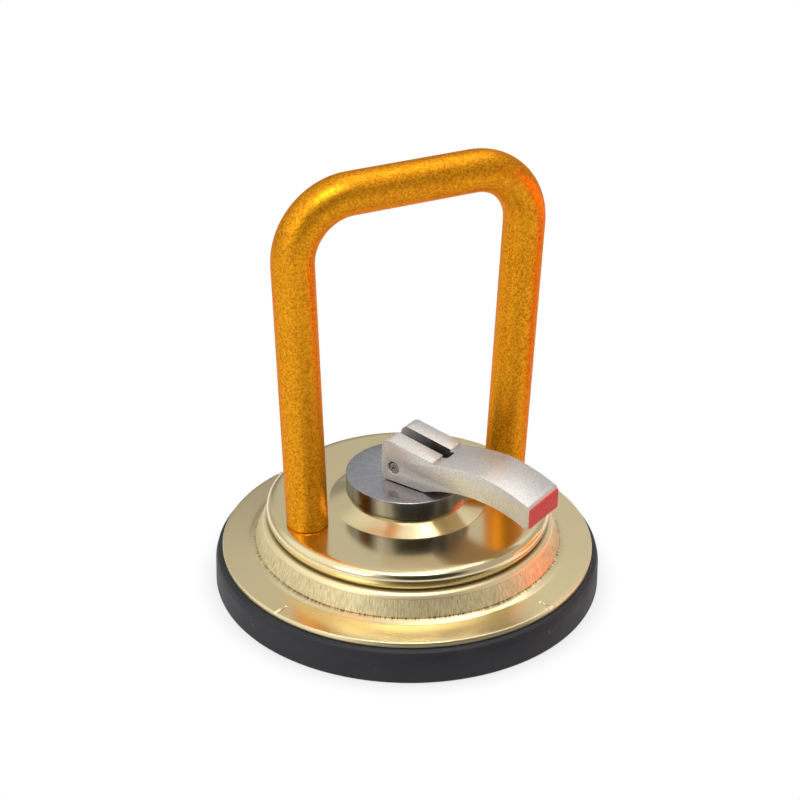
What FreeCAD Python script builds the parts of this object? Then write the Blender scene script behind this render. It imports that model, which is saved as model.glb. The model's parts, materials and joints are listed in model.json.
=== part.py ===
import FreeCAD, Part
import math
import os
import Sketcher
from FreeCAD import Placement, Rotation, Vector

# Floor tile suction lifter: a rubber cup under a stepped steel dome, a bent
# bar handle, and a swivelling cam lever that pulls the middle of the rubber up.
# Millimetres, +Z up. The origin is on the floor under the middle of the cup,
# and the two legs of the handle stand on the X axis.

doc = FreeCAD.newDocument("TileLifter")
sheet = doc.addObject("Spreadsheet::Sheet", "Sizes")

sizeTable = [
    ("plateSheet", 1.8, "thickness of the dome's steel sheet"),
    ("rubberRim", 10.9, "floor to the underside of the flange at its edge"),
    ("rubberProud", 2.3, "rubber standing out past the flange"),
    ("lipWidth", 5.5, "flat sealing lip under the rubber"),
    ("cavityDepth", 2.4, "hollow inside the lip"),
    ("cavitySlope", 4.5, "width of the slope from the lip to the hollow"),
    ("diaphragm", 4.7, "rubber thickness over the hollow"),
    ("plateauRadius", 42.0, "flat top of the dome"),
    ("beadProud", 1.9, "bulge of the upper bead past the flat top"),
    ("beadDrop", 2.7, "flat top down to the widest line of the bead"),
    ("grooveDepth", 1.0, "groove under the bead, in from the bead"),
    ("grooveDrop", 3.2, "bead down to the groove"),
    ("shoulderOut", 2.4, "groove out to the shoulder"),
    ("shoulderDrop", 1.55, "groove down to the shoulder"),
    ("wallTaper", 2.2, "shoulder out to the foot of the wall"),
    ("wallDrop", 5.3, "height of the tapered wall"),
    ("filletOut", 2.0, "foot of the wall out to the flange"),
    ("filletDrop", 1.05, "foot of the wall down to the flange"),
    ("flangeWidth", 8.3, "width of the sloping flange"),
    ("flangeDrop", 0.6, "fall of the flange to its edge"),
    ("bossFoot", 24.2, "radius of the foot of the middle boss"),
    ("bossTop", 18.4, "radius of the top of the middle boss"),
    ("bossHeight", 3.0, "flat top up to the top of the boss"),
    ("creaseLength", 4.2, "radial crease in the edge of the flange"),
    ("creaseWidth", 0.9, "width of a crease"),
    ("creaseDepth", 0.5, "depth of a crease"),
    ("creaseTurn", 20.5, "turn of the first crease from the X axis, degrees"),
    ("slipRadius", 16.4, "slip washer under the puck"),
    ("slipThick", 0.5, "slip washer thickness"),
    ("puckRadius", 19.3, "hardened puck under the cam"),
    ("puckThick", 5.95, "puck thickness"),
    ("puckEdge", 0.4, "bevel on the puck"),
    ("puckBoreClear", 0.4, "puck bore around the stud, radial"),
    ("barDiameter", 12.7, "handle bar"),
    ("legSpan", 68.5, "distance between the middles of the feet"),
    ("legLean", 4.35, "each leg leans out by this at the top"),
    ("barTop", 105.05, "flat top of the dome up to the middle of the grip"),
    ("bendRadius", 18.1, "middle line of the handle bends"),
    ("footBevel", 0.5, "bevel around the foot of each leg"),
    ("screwDiameter", 6.0, "handle screws"),
    ("screwReach", 16.0, "length of screw inside the leg"),
    ("screwHeadRadius", 5.25, "button head of the handle screw"),
    ("screwHeadThick", 3.3, "head thickness"),
    ("socketFlats", 4.0, "hexagon socket in the screw head"),
    ("socketDepth", 1.9, "depth of the socket"),
    ("screwClear", 0.1, "screw in its hole, radial"),
    ("flatWasherRadius", 6.0, "plain washer"),
    ("flatWasherThick", 1.6, "plain washer thickness"),
    ("lockWasherRadius", 5.4, "split washer"),
    ("lockWasherThick", 1.6, "split washer thickness"),
    ("lockWasherGap", 1.2, "split in the lock washer"),
    ("studDiameter", 10.0, "pull stud shank"),
    ("studRunClear", 0.05, "running fit, radial"),
    ("studHeadRadius", 6.5, "round head of the pull stud"),
    ("studHeadThick", 2.8, "head thickness"),
    ("tangThick", 4.0, "flat tongue at the top of the stud"),
    ("tangClear", 0.1, "tongue in the lever slot, each side"),
    ("pinDiameter", 4.0, "slotted spring pin"),
    ("pinWall", 0.7, "spring pin wall"),
    ("pinSlit", 0.8, "slit along the spring pin"),
    ("pinPressClear", 0.01, "pin in the lever cheeks, radial"),
    ("pinShort", 0.3, "pin ends below the faces of the cheeks"),
    ("bushWall", 2.0, "wall of the guide bush"),
    ("bushReach", 4.0, "bush below the boss sheet"),
    ("bushFlangeRadius", 15.0, "flange of the guide bush"),
    ("bushFlangeThick", 1.2, "flange thickness"),
    ("bushFitClear", 0.02, "bush in the hole in the boss, radial"),
    ("seatThick", 1.0, "spring seat washer"),
    ("seatInner", 11.6, "bore radius of the spring seat washer"),
    ("springWire", 1.8, "spring wire"),
    ("springMean", 13.1, "mean radius of the spring"),
    ("springTurns", 5.0, "turns of the spring"),
    ("springClear", 0.1, "end of the spring to its seat"),
    ("insertRadius", 21.0, "plate set in the rubber"),
    ("insertThick", 2.0, "plate thickness"),
    ("insertClear", 0.05, "plate in its recess, radial"),
    ("hubLip", 3.5, "rubber ring around the plate"),
    ("socketWall", 1.6, "wall of the threaded socket"),
    ("socketFloor", 0.4, "floor of the socket above the plate"),
    ("thrustThick", 0.9, "thrust washer on the stud head"),
    ("axialClear", 0.05, "axial play of the swivel"),
    ("capFlats", 20.0, "swivel cap across flats"),
    ("capTopThick", 2.6, "top of the swivel cap"),
    ("threadClear", 0.05, "cap around the socket, radial"),
    ("leverWidth", 16.0, "cam lever width"),
    ("leverFace", 4.7, "pin down to the resting face"),
    ("leverRestClear", 0.3, "resting face to the puck"),
    ("leverBack", 4.3, "pin to the back face"),
    ("leverHeel", 10.0, "pin to the front end of the resting face"),
    ("leverReach", 48.4, "pin to the red tip face"),
    ("leverTipFlat", 1.7, "flat under the tip"),
    ("leverArch", 3.8, "rise of the arch under the arm"),
    ("leverTipHeight", 6.5, "height of the tip face"),
    ("leverNose", 1.2, "rounded top of the tip"),
    ("camSlope", 9.5, "slope of the cheek tops, degrees"),
    ("camDistance", 8.6, "pin to the cheek tops, square to them"),
    ("camBackRound", 2.5, "top back corner"),
    ("camHeelRound", 2.0, "bottom back corner"),
    ("leverStep", 14.0, "pin to the step at the end of the cheeks"),
    ("leverStepDrop", 0.85, "step from the cheeks to the arm"),
    ("armCrest", 31.0, "pin to the highest line of the arm"),
    ("armCrestHeight", 12.2, "arm crest above the resting face"),
    ("slotEnd", 15.7, "pin to the end of the slot"),
    ("slotEndRound", 0.8, "corners at the end of the slot"),
    ("markerThick", 0.35, "red tip plate"),
    ("markerLow", 0.4, "red plate above the under edge of the tip"),
    ("liftTravel", 5.08, "rise of the stud when the lever is over"),
    ("liftClear", 0.3, "stud shank below the puck's top when lifted"),
    ("leverTurn", -62.0, "direction of the lever, degrees from the X axis"),
]


# A number together with the sheet expression that gives it.
class Size:
    def __init__(self, value, text):
        self.value = float(value)
        self.text = text

    def __add__(self, other):
        other = asSize(other)
        return Size(self.value + other.value, f"({self.text} + {other.text})")

    def __sub__(self, other):
        other = asSize(other)
        return Size(self.value - other.value, f"({self.text} - {other.text})")

    def __mul__(self, other):
        other = asSize(other)
        return Size(self.value * other.value, f"({self.text} * {other.text})")

    def __truediv__(self, other):
        other = asSize(other)
        return Size(self.value / other.value, f"({self.text} / {other.text})")

    def __radd__(self, other):
        return asSize(other) + self

    def __rsub__(self, other):
        return asSize(other) - self

    def __rmul__(self, other):
        return asSize(other) * self

    def __neg__(self):
        return Size(-self.value, f"(0 - {self.text})")


def asSize(number):
    if isinstance(number, Size):
        return number
    return Size(number, f"({float(number):.6f})")


def sine(angle):
    return Size(math.sin(math.radians(angle.value)), f"sin({angle.text} * 1 deg)")


def cosine(angle):
    return Size(math.cos(math.radians(angle.value)), f"cos({angle.text} * 1 deg)")


def tangent(angle):
    return Size(math.tan(math.radians(angle.value)), f"tan({angle.text} * 1 deg)")


def root(size):
    return Size(math.sqrt(size.value), f"sqrt({size.text})")


s = {}
for row, (name, number, note) in enumerate(sizeTable, 1):
    sheet.set(f"A{row}", note)
    sheet.set(f"B{row}", str(number))
    sheet.setAlias(f"B{row}", name)
    s[name] = Size(number, f"Sizes.{name}")
doc.recompute()

pieces = []


# A body whose Placement follows the sheet.
def newBody(label, z=None, x=None, turn=None):
    body = doc.addObject("PartDesign::Body", label)
    body.Label = label
    body.Placement = Placement(Vector(0, 0, 0), Rotation(Vector(0, 0, 1), 0))
    if z is not None:
        body.setExpression(".Placement.Base.z", z.text)
    if x is not None:
        body.setExpression(".Placement.Base.x", x.text)
    if turn is not None:
        body.setExpression(".Placement.Rotation.Angle", f"{turn.text} * 1 deg")
    pieces.append(body)
    return body


# A sketch on one of the body's own origin planes.
def newSketch(body, label, role, offset=None, offsetAxis="z"):
    sketch = body.newObject("Sketcher::SketchObject", label)
    plane = [f for f in body.Origin.OriginFeatures if f.Role == role][0]
    sketch.AttachmentSupport = [(plane, "")]
    sketch.MapMode = "FlatFace"
    if offset is not None:
        sketch.setExpression(f".AttachmentOffset.Base.{offsetAxis}", asSize(offset).text)
        doc.recompute()
    return sketch


# Hold one point of a sketch at sheet sizes, measured from the sketch origin.
def pinDown(sketch, geo, pos, x, y):
    for size, kind, axis in ((x, "DistanceX", -2), (y, "DistanceY", -1)):
        size = asSize(size)
        if abs(size.value) < 1e-9 and "Sizes" not in size.text:
            sketch.addConstraint(Sketcher.Constraint("PointOnObject", geo, pos, axis))
        else:
            index = sketch.addConstraint(
                Sketcher.Constraint(kind, -1, 1, geo, pos, size.value))
            if "Sizes" in size.text:
                sketch.setExpression(f"Constraints[{index}]", size.text)


# Lines and arcs through points. A third entry is the radius of the arc
# that arrives at the point; a positive one bulges to the right of the way.
def drawOutline(sketch, points, closed=True):
    corners = [(asSize(p[0]), asSize(p[1]), asSize(p[2]) if len(p) > 2 else None)
               for p in points]
    count = len(corners)
    spans = [(i, (i + 1) % count) for i in range(count if closed else count - 1)]
    for i, j in spans:
        a = Vector(corners[i][0].value, corners[i][1].value, 0)
        b = Vector(corners[j][0].value, corners[j][1].value, 0)
        radius = corners[j][2]
        if radius is None:
            sketch.addGeometry(Part.LineSegment(a, b), False)
            continue
        half = (b - a).Length / 2
        r = abs(radius.value)
        rise = r - math.sqrt(max(r * r - half * half, 0))
        side = Vector((b - a).y, -(b - a).x, 0).normalize()
        middle = (a + b) * 0.5 + side * (rise if radius.value > 0 else -rise)
        if radius.value > 0:
            sketch.addGeometry(Part.Arc(a, middle, b), False)
        else:
            sketch.addGeometry(Part.Arc(b, middle, a), False)
    # A sketch keeps every arc counter-clockwise, so the others start at their far end.
    ends = [(2, 1) if corners[j][2] is not None and corners[j][2].value < 0 else (1, 2)
            for i, j in spans]
    for number, (i, j) in enumerate(spans):
        follower = (number + 1) % len(spans)
        if closed or number + 1 < len(spans):
            sketch.addConstraint(Sketcher.Constraint(
                "Coincident", number, ends[number][1], follower, ends[follower][0]))
        pinDown(sketch, number, ends[number][0], corners[i][0], corners[i][1])
    if not closed:
        last = len(spans) - 1
        pinDown(sketch, last, ends[last][1], corners[-1][0], corners[-1][1])
    for number, (i, j) in enumerate(spans):
        radius = corners[j][2]
        if radius is not None:
            size = radius if radius.value > 0 else -radius
            index = sketch.addConstraint(
                Sketcher.Constraint("Radius", number, size.value))
            if "Sizes" in size.text:
                sketch.setExpression(f"Constraints[{index}]", size.text)


# One more closed loop of straight lines in a sketch.
def drawLoop(sketch, points):
    start = sketch.GeometryCount
    corners = [(asSize(x), asSize(y)) for x, y in points]
    for k, (x, y) in enumerate(corners):
        nextX, nextY = corners[(k + 1) % len(corners)]
        sketch.addGeometry(Part.LineSegment(
            Vector(x.value, y.value, 0), Vector(nextX.value, nextY.value, 0)), False)
    for k, (x, y) in enumerate(corners):
        sketch.addConstraint(Sketcher.Constraint(
            "Coincident", start + k, 2, start + (k + 1) % len(corners), 1))
        pinDown(sketch, start + k, 1, x, y)


def drawCircle(sketch, x, y, radius):
    x, y, radius = asSize(x), asSize(y), asSize(radius)
    number = sketch.GeometryCount
    sketch.addGeometry(Part.Circle(Vector(x.value, y.value, 0), Vector(0, 0, 1),
                                   radius.value), False)
    pinDown(sketch, number, 3, x, y)
    index = sketch.addConstraint(Sketcher.Constraint("Radius", number, radius.value))
    if "Sizes" in radius.text:
        sketch.setExpression(f"Constraints[{index}]", radius.text)


# A ring or disc turned about the body's Z axis.
def turned(body, outline, label="Turning"):
    sketch = newSketch(body, label + "Profile", "XZ_Plane")
    drawOutline(sketch, outline)
    feature = body.newObject("PartDesign::Revolution", label)
    feature.Profile = sketch
    feature.ReferenceAxis = (sketch, ["V_Axis"])
    feature.Angle = 360.0
    sketch.Visibility = False
    doc.recompute()
    return feature


def padded(body, sketch, length, label="Pad", middle=False, reverse=False):
    feature = body.newObject("PartDesign::Pad", label)
    feature.Profile = sketch
    length = asSize(length)
    feature.Length = length.value
    if "Sizes" in length.text:
        feature.setExpression("Length", length.text)
    if middle:
        feature.SideType = "Symmetric"
    feature.Reversed = reverse
    sketch.Visibility = False
    doc.recompute()
    return feature


def pocketed(body, sketch, length, label="Pocket", middle=False, reverse=False):
    before = body.Shape.Volume
    feature = body.newObject("PartDesign::Pocket", label)
    feature.Profile = sketch
    length = asSize(length)
    feature.Length = length.value
    if "Sizes" in length.text:
        feature.setExpression("Length", length.text)
    if middle:
        feature.SideType = "Symmetric"
    feature.Reversed = reverse
    sketch.Visibility = False
    doc.recompute()
    if body.Shape.Volume > before - 1e-6:
        raise RuntimeError(f"{body.Label}: {label} cuts nothing")
    return feature


# A ring of equal copies about the body's Z axis.
def repeated(body, features, count, label="Around"):
    pattern = body.newObject("PartDesign::PolarPattern", label)
    pattern.Originals = features
    axis = [f for f in body.Origin.OriginFeatures if f.Role == "Z_Axis"][0]
    pattern.Axis = (axis, [""])
    pattern.Angle = 360.0
    pattern.Occurrences = count
    body.Tip = pattern
    doc.recompute()
    return pattern


# Heights of the dome above the floor, from the flange's edge up to the puck.
sheetUp = s["plateSheet"]
flangeEdgeTop = s["rubberRim"] + sheetUp
flangeRootTop = flangeEdgeTop + s["flangeDrop"]
wallFoot = flangeRootTop + s["filletDrop"]
shoulder = wallFoot + s["wallDrop"]
groove = shoulder + s["shoulderDrop"]
beadLine = groove + s["grooveDrop"]
plateau = beadLine + s["beadDrop"]
bossSummit = plateau + s["bossHeight"]
puckUnder = bossSummit + s["slipThick"]
puckSummit = puckUnder + s["puckThick"]
plateauUnder = plateau - sheetUp
bossUnder = bossSummit - sheetUp

# Radii of the dome, from its flat top out to the edge of the rubber.
beadRadius = s["plateauRadius"] + s["beadProud"]
grooveRadius = beadRadius - s["grooveDepth"]
shoulderRadius = grooveRadius + s["shoulderOut"]
wallFootRadius = shoulderRadius + s["wallTaper"]
flangeRootRadius = wallFootRadius + s["filletOut"]
flangeRadius = flangeRootRadius + s["flangeWidth"]
rubberRadius = flangeRadius + s["rubberProud"]

# Mechanism in the middle.
studRadius = s["studDiameter"] / 2
rubberTop = s["cavityDepth"] + s["diaphragm"]
insertTop = rubberTop + s["insertThick"]
bushBore = studRadius + s["studRunClear"]
bushRadius = bushBore + s["bushWall"]
legPlace = s["legSpan"] / 2


# Rubber cup: a flat lip, a shallow hollow, a thin middle and a recessed hub.
lipInner = rubberRadius - s["lipWidth"]
hollowEdge = lipInner - s["cavitySlope"]
hubInner = s["insertRadius"] + s["insertClear"]
hubOuter = hubInner + s["hubLip"]
rubberCup = newBody("rubber_cup")
turned(rubberCup, [
    (0, s["cavityDepth"]),
    (hollowEdge, s["cavityDepth"]),
    (lipInner, 0),
    (rubberRadius, 0),
    (rubberRadius, s["rubberRim"] * 0.78),
    (flangeRadius + s["rubberProud"] * 0.35, s["rubberRim"] - 0.35, 2.4),
    (flangeRadius - 0.4, s["rubberRim"] - 0.12),
    (flangeRootRadius - 0.4, s["rubberRim"] + s["flangeDrop"] - 0.12),
    (wallFootRadius - sheetUp - 1.5, rubberTop),
    (hubOuter, rubberTop),
    (hubInner + s["hubLip"] * 0.45, insertTop),
    (hubInner, insertTop),
    (hubInner, rubberTop),
    (0, rubberTop),
])

# Dome plate: one pressing, with a bead, a groove, a tapered wall, a sloping
# flange and a raised boss in the middle.
domePlate = newBody("dome_plate", z=s["rubberRim"])
low = s["rubberRim"]
wallUnderTop = shoulder - 1.0
turned(domePlate, [
    (bushRadius + s["bushFitClear"], bossSummit - low),
    (s["bossTop"], bossSummit - low),
    (s["bossFoot"], plateau - low),
    (s["plateauRadius"], plateau - low),
    (beadRadius, beadLine - low, -2.4),
    (grooveRadius, groove - low, -2.9),
    (grooveRadius + s["shoulderOut"] * 0.45, shoulder + s["shoulderDrop"] * 0.32 - low, 1.9),
    (shoulderRadius, shoulder - low, -1.7),
    (wallFootRadius, wallFoot - low),
    (flangeRootRadius, flangeRootTop - low, 2.4),
    (flangeRadius - 0.5, flangeEdgeTop + 0.1 - low),
    (flangeRadius, flangeEdgeTop - 0.5 - low, -0.6),
    (flangeRadius, 0.3),
    (flangeRadius - 0.3, 0),
    (flangeRootRadius - 0.3, s["flangeDrop"]),
    (wallFootRadius - sheetUp, wallFoot - 0.5 - low),
    (shoulderRadius - sheetUp + 0.3, wallUnderTop - low),
    (s["plateauRadius"] - 1.4, groove + 0.3 - low),
    (s["plateauRadius"] - 1.1, plateauUnder - low),
    (s["bossFoot"] - 0.46, plateauUnder - low),
    (s["bossTop"] - 0.46, bossUnder - low),
    (bushRadius + s["bushFitClear"], bossUnder - low),
], "Pressing")
screwHoles = newSketch(domePlate, "ScrewHoles", "XY_Plane", plateau - low + 1)
drawCircle(screwHoles, legPlace, 0, s["screwDiameter"] / 2 + s["screwClear"])
drawCircle(screwHoles, -legPlace, 0, s["screwDiameter"] / 2 + s["screwClear"])
pocketed(domePlate, screwHoles, sheetUp * 2 + 2, "ScrewHolePair")
creaseSketch = newSketch(domePlate, "CreaseSketch", "XZ_Plane")
creaseSketch.AttachmentOffset = Placement(Vector(0, 0, 0), Rotation(Vector(0, 1, 0), 1))
creaseSketch.setExpression(".AttachmentOffset.Rotation.Angle",
                           f"{s['creaseTurn'].text} * 1 deg")
doc.recompute()
creaseTop = flangeEdgeTop - low
creaseSlope = s["flangeDrop"] / s["flangeWidth"]
drawOutline(creaseSketch, [
    (flangeRadius + 1, creaseTop - s["creaseDepth"] - creaseSlope),
    (flangeRadius + 1, creaseTop + 1),
    (flangeRadius - s["creaseLength"], creaseTop + 1 + creaseSlope * s["creaseLength"]),
    (flangeRadius - s["creaseLength"],
     creaseTop - s["creaseDepth"] * 0.3 + creaseSlope * s["creaseLength"]),
])
creaseCut = pocketed(domePlate, creaseSketch, s["creaseWidth"], "Crease", middle=True)
repeated(domePlate, [creaseCut], 4, "Creases")

# Handle: one round bar, bent twice, with each leg leaning out a little.
handle = newBody("handle", z=plateau)
gripPlace = newSketch(handle, "GripSection", "YZ_Plane")
drawCircle(gripPlace, 0, s["barTop"], s["barDiameter"] / 2)
gripPath = newSketch(handle, "BarPath", "XZ_Plane")
lean = Size(math.degrees(math.atan((s["legLean"] / s["barTop"]).value)),
            f"(atan({(s['legLean'] / s['barTop']).text}) / 1 deg)")
cornerX = legPlace + s["legLean"]
turnBack = s["bendRadius"] * tangent((90 + lean) / 2)
drawOutline(gripPath, [
    (0, s["barTop"]),
    (cornerX - turnBack, s["barTop"]),
    (cornerX - turnBack * sine(lean), s["barTop"] - turnBack * cosine(lean), -s["bendRadius"]),
    (legPlace - s["legLean"] * 3 / s["barTop"], -3),
], closed=False)
halfBar = handle.newObject("PartDesign::AdditivePipe", "HalfBar")
halfBar.Profile = gripPlace
halfBar.Spine = gripPath
doc.recompute()
otherHalf = handle.newObject("PartDesign::Mirrored", "OtherHalf")
otherHalf.Originals = [halfBar]
otherHalf.MirrorPlane = ([f for f in handle.Origin.OriginFeatures
                          if f.Role == "YZ_Plane"][0], [""])
handle.Tip = otherHalf
doc.recompute()
footTrim = newSketch(handle, "FootTrim", "XY_Plane")
drawOutline(footTrim, [
    (-(legPlace + s["barDiameter"]), -s["barDiameter"]),
    (legPlace + s["barDiameter"], -s["barDiameter"]),
    (legPlace + s["barDiameter"], s["barDiameter"]),
    (-(legPlace + s["barDiameter"]), s["barDiameter"]),
])
pocketed(handle, footTrim, 6, "FlatFeet")
screwSeats = newSketch(handle, "ScrewSeats", "XY_Plane")
drawCircle(screwSeats, legPlace, 0, s["screwDiameter"] / 2 + s["screwClear"])
drawCircle(screwSeats, -legPlace, 0, s["screwDiameter"] / 2 + s["screwClear"])
pocketed(handle, screwSeats, s["screwReach"] + 1, "ScrewBores", reverse=True)
footEdges = []
for number, edge in enumerate(handle.Shape.Edges, 1):
    box = edge.BoundBox
    if box.ZMax - box.ZMin < 1e-4 and abs(box.ZMin - handle.Placement.Base.z) < 1e-4 \
            and box.YLength > s["barDiameter"].value * 0.9:
        footEdges.append(f"Edge{number}")
bored = handle.Tip
feet = handle.newObject("PartDesign::Chamfer", "FootBevels")
feet.Base = (bored, footEdges)
feet.Size = s["footBevel"].value
feet.setExpression("Size", s["footBevel"].text)
doc.recompute()

# Handle screws, from below through the dome, with plain and split washers.
underWashers = plateauUnder - s["flatWasherThick"] - s["lockWasherThick"]
screws = newBody("handle_screws", z=underWashers)
screwSketch = newSketch(screws, "ScrewProfile", "XZ_Plane")
screwLength = plateau + s["screwReach"] - underWashers
drawOutline(screwSketch, [
    (legPlace, -s["screwHeadThick"]),
    (legPlace + s["screwHeadRadius"] * 0.6, -s["screwHeadThick"]),
    (legPlace + s["screwHeadRadius"], -s["screwHeadThick"] * 0.25, s["screwHeadRadius"]),
    (legPlace + s["screwHeadRadius"], 0),
    (legPlace + s["screwDiameter"] / 2, 0),
    (legPlace + s["screwDiameter"] / 2, screwLength - 1),
    (legPlace + s["screwDiameter"] / 2 - 1, screwLength),
    (legPlace, screwLength),
])
screwTurn = screws.newObject("PartDesign::Revolution", "ScrewTurn")
screwTurn.Profile = screwSketch
screwTurn.ReferenceAxis = (screwSketch, ["Edge8"])
screwTurn.Angle = 360.0
doc.recompute()
hexSketch = newSketch(screws, "HexSocket", "XY_Plane", -s["screwHeadThick"])
hexRadius = s["socketFlats"] / math.sqrt(3)
drawOutline(hexSketch, [
    (legPlace + hexRadius * math.cos(math.radians(60 * k)),
     hexRadius * round(math.sin(math.radians(60 * k)), 9) if k % 3 else 0)
    for k in range(6)])
hexCut = pocketed(screws, hexSketch, s["socketDepth"], "HexPocket", reverse=True)
repeated(screws, [screwTurn, hexCut], 2, "ScrewPair")

flatWashers = newBody("handle_washers", z=plateauUnder - s["flatWasherThick"])
flatSketch = newSketch(flatWashers, "FlatWasherRings", "XY_Plane")
for side in (1, -1):
    drawCircle(flatSketch, legPlace * side, 0, s["flatWasherRadius"])
    drawCircle(flatSketch, legPlace * side, 0, s["screwDiameter"] / 2 + s["screwClear"] * 2)
padded(flatWashers, flatSketch, s["flatWasherThick"], "FlatWashers")

lockWashers = newBody("handle_lock_washers", z=underWashers)
lockSketch = newSketch(lockWashers, "LockWasherRings", "XY_Plane")
for side in (1, -1):
    drawCircle(lockSketch, legPlace * side, 0, s["lockWasherRadius"])
    drawCircle(lockSketch, legPlace * side, 0, s["screwDiameter"] / 2 + s["screwClear"])
padded(lockWashers, lockSketch, s["lockWasherThick"], "LockWashers")
splitSketch = newSketch(lockWashers, "Splits", "XY_Plane")
for side in (1, -1):
    near = legPlace * side
    half = s["lockWasherGap"] / 2
    drawLoop(splitSketch, [
        (near - half, s["screwDiameter"] / 4), (near + half, s["screwDiameter"] / 4),
        (near + half, s["lockWasherRadius"] + 1), (near - half, s["lockWasherRadius"] + 1)])
pocketed(lockWashers, splitSketch, s["lockWasherThick"], "SplitCuts", reverse=True)

# Guide bush, pressed up into the boss, with a flange that backs the sheet.
bush = newBody("guide_bush", z=bossUnder)
turned(bush, [
    (bushBore, -s["bushReach"]),
    (bushRadius, -s["bushReach"]),
    (bushRadius, -s["bushFlangeThick"]),
    (s["bushFlangeRadius"], -s["bushFlangeThick"]),
    (s["bushFlangeRadius"], 0),
    (bushRadius, 0),
    (bushRadius, sheetUp),
    (bushBore, sheetUp),
])

seatHigh = bossUnder - s["bushFlangeThick"]
springSeat = newBody("spring_seat_washer", z=seatHigh - s["seatThick"])
turned(springSeat, [
    (s["seatInner"], 0), (s["bushFlangeRadius"], 0),
    (s["bushFlangeRadius"], s["seatThick"]), (s["seatInner"], s["seatThick"]),
])

# Slip washer and hardened puck that the cam rides on.
slipWasher = newBody("slip_washer", z=bossSummit)
turned(slipWasher, [
    (bushBore, 0), (s["slipRadius"], 0), (s["slipRadius"], s["slipThick"]),
    (bushBore, s["slipThick"]),
])
puck = newBody("cam_puck", z=puckUnder)
puckBore = studRadius + s["puckBoreClear"]
turned(puck, [
    (puckBore, 0),
    (s["puckRadius"] - s["puckEdge"], 0),
    (s["puckRadius"], s["puckEdge"]),
    (s["puckRadius"], s["puckThick"] - s["puckEdge"]),
    (s["puckRadius"] - s["puckEdge"], s["puckThick"]),
    (puckBore + s["puckEdge"], s["puckThick"]),
    (puckBore, s["puckThick"] - s["puckEdge"]),
])

# Plate set in the rubber, with a threaded socket for the stud's head.
socketRadius = s["studHeadRadius"] + s["studRunClear"]
socketOuter = socketRadius + s["socketWall"]
socketDeep = s["studHeadThick"] + s["thrustThick"] + s["axialClear"] * 2
socketFloorUp = s["insertThick"] + s["socketFloor"]
socketTop = socketFloorUp + socketDeep
insert = newBody("cup_insert", z=rubberTop)
turned(insert, [
    (0, 0),
    (s["insertRadius"], 0),
    (s["insertRadius"], s["insertThick"]),
    (socketOuter, s["insertThick"]),
    (socketOuter, socketTop),
    (socketRadius, socketTop),
    (socketRadius, socketFloorUp),
    (0, socketFloorUp),
])

# Swivel cap: a hexagon nut that keeps the stud's head in the socket.
cap = newBody("swivel_cap", z=insertTop)
capHeight = s["socketFloor"] + socketDeep + s["capTopThick"]
capSketch = newSketch(cap, "CapHexagon", "XY_Plane")
capCorner = s["capFlats"] / math.sqrt(3)
drawOutline(capSketch, [
    (capCorner * round(math.cos(math.radians(60 * k + 30)), 9) if k % 3 != 1 else 0,
     capCorner * math.sin(math.radians(60 * k + 30)))
    for k in range(6)])
padded(cap, capSketch, capHeight, "CapBlock")
capBore = newSketch(cap, "CapBore", "XZ_Plane")
drawOutline(capBore, [
    (0, 0),
    (socketOuter + s["threadClear"], 0),
    (socketOuter + s["threadClear"], capHeight - s["capTopThick"]),
    (bushBore, capHeight - s["capTopThick"]),
    (bushBore, capHeight),
    (0, capHeight),
])
capCut = cap.newObject("PartDesign::Groove", "CapHollow")
capCut.Profile = capBore
capCut.ReferenceAxis = (capBore, ["V_Axis"])
capCut.Angle = 360.0
doc.recompute()
capRound = newSketch(cap, "CapRound", "XZ_Plane")
drawOutline(capRound, [
    (s["capFlats"] / 2, capHeight),
    (s["capFlats"] / 2 * 1.25, capHeight),
    (s["capFlats"] / 2 * 1.25, capHeight - s["capFlats"] / 2 * 0.25 * 0.577),
])
capBevel = cap.newObject("PartDesign::Groove", "CapBevel")
capBevel.Profile = capRound
capBevel.ReferenceAxis = (capRound, ["V_Axis"])
capBevel.Angle = 360.0
doc.recompute()

# Pull stud: round head, round shank, flat tongue and eye for the pin.
headUnder = rubberTop + socketFloorUp + s["axialClear"]
pinHigh = puckSummit + s["leverRestClear"] + s["leverFace"]
stud = newBody("pull_stud", z=headUnder, turn=s["leverTurn"])
shankTop = puckSummit - s["liftTravel"] - s["liftClear"] - headUnder
pinUp = pinHigh - headUnder
turned(stud, [
    (0, 0),
    (s["studHeadRadius"], 0),
    (s["studHeadRadius"], s["studHeadThick"]),
    (studRadius, s["studHeadThick"]),
    (studRadius, pinUp + studRadius),
    (0, pinUp + studRadius),
], "Shank")
flatSides = newSketch(stud, "TongueSides", "YZ_Plane")
for side in (1, -1):
    near, far = s["tangThick"] / 2 * side, (studRadius + 1) * side
    drawLoop(flatSides, [(near, shankTop), (far, shankTop),
                         (far, pinUp + studRadius + 1), (near, pinUp + studRadius + 1)])
pocketed(stud, flatSides, s["studDiameter"] * 2, "TongueFlats", middle=True)
eyeRound = newSketch(stud, "EyeRound", "XZ_Plane")
drawOutline(eyeRound, [
    (-(studRadius + 1), pinUp),
    (-studRadius, pinUp),
    (0, pinUp + studRadius, -studRadius),
    (studRadius, pinUp, -studRadius),
    (studRadius + 1, pinUp),
    (studRadius + 1, pinUp + studRadius + 1),
    (-(studRadius + 1), pinUp + studRadius + 1),
])
pocketed(stud, eyeRound, s["studDiameter"] * 2, "RoundEye", middle=True)
eyeSketch = newSketch(stud, "EyeSketch", "XZ_Plane")
drawCircle(eyeSketch, 0, pinUp, s["pinDiameter"] / 2 + s["studRunClear"])
pocketed(stud, eyeSketch, s["tangThick"] * 2, "Eye", middle=True)

thrust = newBody("thrust_washer", z=headUnder + s["studHeadThick"])
turned(thrust, [
    (bushBore, 0), (s["studHeadRadius"], 0),
    (s["studHeadRadius"], s["thrustThick"]), (bushBore, s["thrustThick"]),
])

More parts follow.
